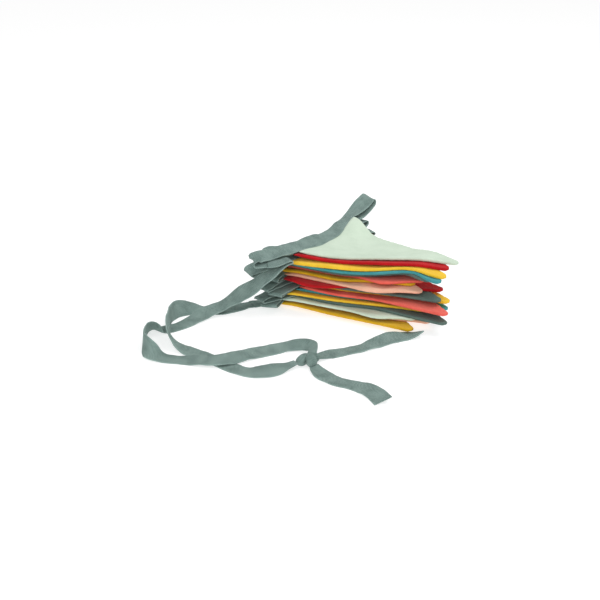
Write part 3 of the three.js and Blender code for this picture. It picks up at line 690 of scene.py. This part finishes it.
def heading_rows():
    """The heading back and forth down the stack, as in the solids."""
    strips = [strip_rows(layer) for layer in range(COUNT)]
    first = hairpin(
        NEAR_FOLDS[0], strips[0][0], TIE_UPPER[1],
        lambda x, y: TOP_FOLD[0], lambda x, y: TOP_FOLD[1], TOP_FOLD_TILT, -1,
    )
    rows = first[::-1]
    for layer in range(0, COUNT, 2):
        upper, lower = strips[layer], strips[layer + 1]
        reach, side, lift, gap, tilt, steep = FAR_FOLDS[layer // 2]
        end = np.array(upper[-1][:2]) + HEADING * reach + OUTWARD * side
        middle = (upper[-1][2] + lower[-1][2]) / 2.0 + lift
        rows += upper
        rows += hairpin(
            end, upper[-1], lower[-1],
            lambda x, y: middle + gap / 2.0 - steep * ((end - (x, y)) @ HEADING),
            lambda x, y: middle - gap / 2.0 - steep * ((end - (x, y)) @ HEADING), tilt, 1,
        )
        rows += lower[::-1]
        if layer + 2 < COUNT:
            rows += hairpin(
                NEAR_FOLDS[layer // 2 + 1], lower[0], strips[layer + 2][0],
                lambda x, y: sheet_height(layer + 1, x, y),
                lambda x, y: sheet_height(layer + 2, x, y), 0.0, -1,
            )
    return rows + HEADING_END


# The ties and free ends as rows of x, y, z, the azimuth and elevation in which the tape's
# width points, and the share of its full width, the same as in the solids
TIE_UPPER = [
    (-41.5, -30.8, 69, 97.4, 19, 1),
    (-30, -29.4, 68.6, 99, 12, 1),
    (-22, -27, 69.4, 109, 4, 1),
    (-14.6, -23.5, 70.9, 115, 0, 1),
    (-13.3, -22.9, 70.6, 115, 0, 1),
    (-12.9, -22.7, 69.6, 115, 0, 1),
    (-13.3, -22.9, 68.6, 115, 0, 1),
    (-14.6, -23.5, 68.3, 115, 0, 1),
    (-21, -27.6, 66.2, 117, -2, 1),
    (-29, -32.6, 60.4, 120, -5, 1),
    (-38, -35.6, 53.4, 123, 0, 1),
    (-48, -36, 46.6, 125, 9, 1),
    (-60, -37.5, 38, 125, 20, 1),
    (-72, -33, 29.4, 121, 25, 1),
    (-84, -28.6, 20, 117, 20, 1),
    (-97, -30, 11.5, 110, 12, 1),
    (-109, -36, 8.6, 112, 14, 1),
    (-120, -43, 5.8, 116, 16, 1),
    (-132, -57, 2.8, 117, 8, 1),
    (-144, -70, 1.2, 114, 2, 1),
    (-156, -81, 0.8, 108, 0, 1),
    (-167, -88, 0.8, 105, 0, 1),
    (-172, -91.4, 1.3, 108, -7, 1),
    (-177.4, -96.6, 6, 118, -34, 1),
    (-183.4, -108, 10.4, 150, -70, 1),
    (-186, -122, 11, 176, -84, 1),
    (-186, -138, 11, 190, -84, 1),
    (-183, -152, 10.4, 214, -72, 1),
    (-177, -163, 8, 236, -48, 1),
    (-169, -170.6, 4, 254, -20, 1),
    (-158, -175.4, 1.6, 265, -4, 1),
    (-146, -178, 0.8, 271, 0, 1),
    (-138, -179, 0.8, 274, 0, 1),
    (-132, -180.6, 1.5, 275, -3, 1),
    (-124, -183, 2.5, 276, -6, 1),
    (-110, -188, 4.2, 278, -3, 1),
    (-96, -190, 5.6, 282, -8, 1),
    (-80, -184, 5.5, 286, -12, 1),
    (-64, -172, 4.6, 284, -10, 1),
    (-49, -162, 3, 281, -10, 1),
    (-34, -153, 2.4, 279, -8, 1),
    (-19, -146, 3.2, 277, -10, 1),
    (-6, -144, 5, 268, -18, 0.96),
    (6, -148, 7, 250, -26, 0.85),
    (14, -157, 9, 215, -30, 0.7),
    (15, -169, 9.6, 186, -22, 0.55),
    (14, -176.5, 9.4, 180, -14, 0.5),
]
TIE_LOWER = [
    (-62.45, -0.8, 0.8, 114, 0, 1),
    (-71, -4.8, 0.8, 117, 0, 1),
    (-80, -12, 0.8, 116, 0, 1),
    (-90, -19, 0.8, 106, 0, 1),
    (-102, -25, 0.8, 88, 0, 1),
    (-114, -23, 0.8, 80, 0, 1),
    (-125, -21.6, 1.4, 84, 4, 1),
    (-136, -24.6, 4.6, 94, 22, 1),
    (-146.6, -31.4, 8, 107, 44, 1),
    (-154, -41, 10.6, 128, 66, 1),
    (-158.6, -53, 11.8, 155, 79, 1),
    (-160.6, -68, 13.6, 175, 84, 1),
    (-161, -86, 14.8, 180, 84, 1),
    (-160.4, -104, 14.2, 185, 82, 1),
    (-157.6, -119, 11.8, 196, 72, 1),
    (-151.6, -132, 8.4, 210, 48, 1),
    (-142, -144, 4.2, 222, 20, 1),
    (-131, -154, 1.4, 229, 3, 1),
    (-118, -163, 0.8, 231, 0, 1),
    (-105, -174, 0.8, 230, 0, 1),
    (-92, -186, 0.8, 230, 0, 1),
    (-77, -201, 0.8, 238, 0, 1),
    (-63, -212, 1.4, 254, -3, 1),
    (-47, -218, 3.4, 270, -12, 1),
    (-34, -216, 4.4, 280, -16, 1),
    (-22, -209, 4.6, 288, -14, 0.85),
    (-13, -203, 5.2, 296, -8, 0.62),
    (-4.5, -197, 6, 300, -4, 0.45),
]
END_RIGHT = [
    (19.5, -181, 4.6, 125, 0, 0.45),
    (26, -172, 3, 118, 0, 0.72),
    (37, -162, 0.9, 104, 0, 1),
    (55, -153, 0.8, 100, 0, 1),
    (68, -147, 1, 108, -2, 1),
    (78, -141, 1.6, 118, -6, 1),
    (88, -134, 2, 118, 4, 1),
    (98, -127, 3.4, 114, 13, 1),
    (108, -120, 4, 108, 16, 1),
    (119, -113, 3, 104, 10, 1),
    (130, -108, 1.6, 100, 0, 1),
    (140, -105, 3, 98, -12, 1),
    (147, -102, 4.8, 96, -20, 1),
]
END_FRONT = [
    (16, -200, 4, 40, 4, 0.5),
    (19, -208, 2.6, 50, 2, 0.75),
    (25, -219, 1, 62, 0, 1),
    (34, -231, 0.9, 66, 1, 1),
    (44, -240, 0.8, 72, 0, 1),
    (54, -245, 0.8, 74, 0, 1),
    (64, -252, 1.2, 64, 2, 1),
    (73, -262, 3.2, 56, 10, 1),
    (82, -276, 3.8, 56, 12, 1),
    (89, -294, 4, 57, 13, 1),
]

twill_finish = twill()


def lay_tape(name, rows, held, rests_on, *nodes, **shape):
    """One stretch of tape, as long as its path and as wide as twill."""
    rings, flat, length = tape_rings(rows, **shape)
    piece = place(name, tube_mesh(name, rings, flat), twill_finish, "twill_tape", *nodes)
    round(length * MM, 4)


stack = [f"pennant_{layer + 1:02d}" for layer in range(COUNT)]
heading = heading_rows()
shape = {"spacing": 1.8, "wave": 0.45, "seed": 3.3}
lay_tape("heading_twill", heading, "folded", stack, "heading_tape", **shape)
shape = {"wave": 0.5, "seed": 1.0}
lay_tape("tie_upper_twill", TIE_UPPER, "draped", ["heading_tape"], "tie_upper", **shape)
lay_tape("tie_lower_twill", TIE_LOWER, "laid", [], "tie_lower", wave=0.4, seed=2.4)
lay_tape("end_right_twill", END_RIGHT, "laid", [], "tie_end_right", wave=0.4, seed=4.0)
lay_tape("end_front_twill", END_FRONT, "laid", [], "tie_end_front", wave=0.3, seed=5.2)

# The knot: bands of tape, gathered narrow, that go over the tapes and tuck in under them.
# Each row is its middle, the azimuth in which it runs over, its reach that way, its height
# and the share of the tape's width that it keeps. KNOT_HOLLOW is the half height left open
# between a band's drawn-in edges.
KNOT_HOLLOW = 1.4
KNOT_THICK = 2.4
KNOT_STATIONS = range(-75, 256, 22)
KNOT_BANDS = [
    ((12.6, -195.4, 7.6), -68.0, 8.4, 7.2, 0.6),
    ((4.2, -189.6, 6.2), 50.0, 10.2, 6.0, 0.56),
    ((15.6, -181.0, 6.0), -35.0, 7.0, 5.4, 0.4),
]


def band_rows(middle, azimuth, reach, high, wide):
    """Rows of a band that goes round in an upright ellipse, from low on one side across
    the top to low on the other."""
    run = plan(azimuth)
    rows = []
    for turn in KNOT_STATIONS:
        across = -reach * math.cos(math.radians(turn))
        z = middle[2] + high * math.sin(math.radians(turn))
        x, y = middle[0] + run[0] * across, middle[1] + run[1] * across
        rows.append((x, y, z, azimuth + 90.0, 0.0, wide))
    return rows


for number, (middle, azimuth, reach, high, wide) in enumerate(KNOT_BANDS):
    band = band_rows(middle, azimuth, reach, high, wide)
    shape = {"spacing": 0.8, "cup": KNOT_HOLLOW - high, "seed": float(number), "thick": KNOT_THICK}
    rings, flat, length = tape_rings(band, wound=True, **shape)
    name = f"knot_band_{number + 1}"
    piece = place(name, tube_mesh(name, rings, flat), twill_finish, "twill_tape", "tie_knot")
    round(length * MM, 4)
    round(wide * TAPE_WIDTH * length * MM * MM, 8)


# Floor and light

FLOOR_HALF = 12.0


def floor_mesh(size):
    """A plain square sheet under the part, reaching size metres each way."""
    mesh = bpy.data.meshes.new("floor")
    corners = [(-size, -size, 0.0), (size, -size, 0.0), (size, size, 0.0), (-size, size, 0.0)]
    mesh.from_pydata(corners, [], [(0, 1, 2, 3)])
    return mesh


floor_finish = Finish("floor_white")
floor_finish.set("Base Color", (0.5, 0.5, 0.5, 1.0))
floor_finish.set("Emission Color", (1.0, 1.0, 1.0, 1.0))
floor_finish.set("Emission Strength", 0.66)
floor_finish.set("Roughness", 1.0)
floor_finish.set("Specular IOR Level", 0.0)
floor = bpy.data.objects.new("floor", floor_mesh(FLOOR_HALF))
floor.data.materials.append(floor_finish.material)
scene.collection.objects.link(floor)

world = bpy.data.worlds.new("studio")
world.use_nodes = True
world.node_tree.nodes["Background"].inputs["Color"].default_value = (1.0, 1.0, 1.0, 1.0)
world.node_tree.nodes["Background"].inputs["Strength"].default_value = 0.6
scene.world = world

# Soft boxes: name, place in metres, edge in metres, watts
LIGHTS = [
    ("key", (0.9, 0.5, 1.7), 1.2, 16.0),
    ("fill", (-0.5, -2.0, 1.1), 1.6, 18.0),
]
for name, spot, edge, watts in LIGHTS:
    lamp_data = bpy.data.lights.new(name, "AREA")
    lamp_data.size = edge
    lamp_data.energy = watts
    lamp = bpy.data.objects.new(name, lamp_data)
    lamp.location = spot
    lamp.rotation_euler = (-Vector(spot)).to_track_quat("-Z", "Y").to_euler()
    scene.collection.objects.link(lamp)
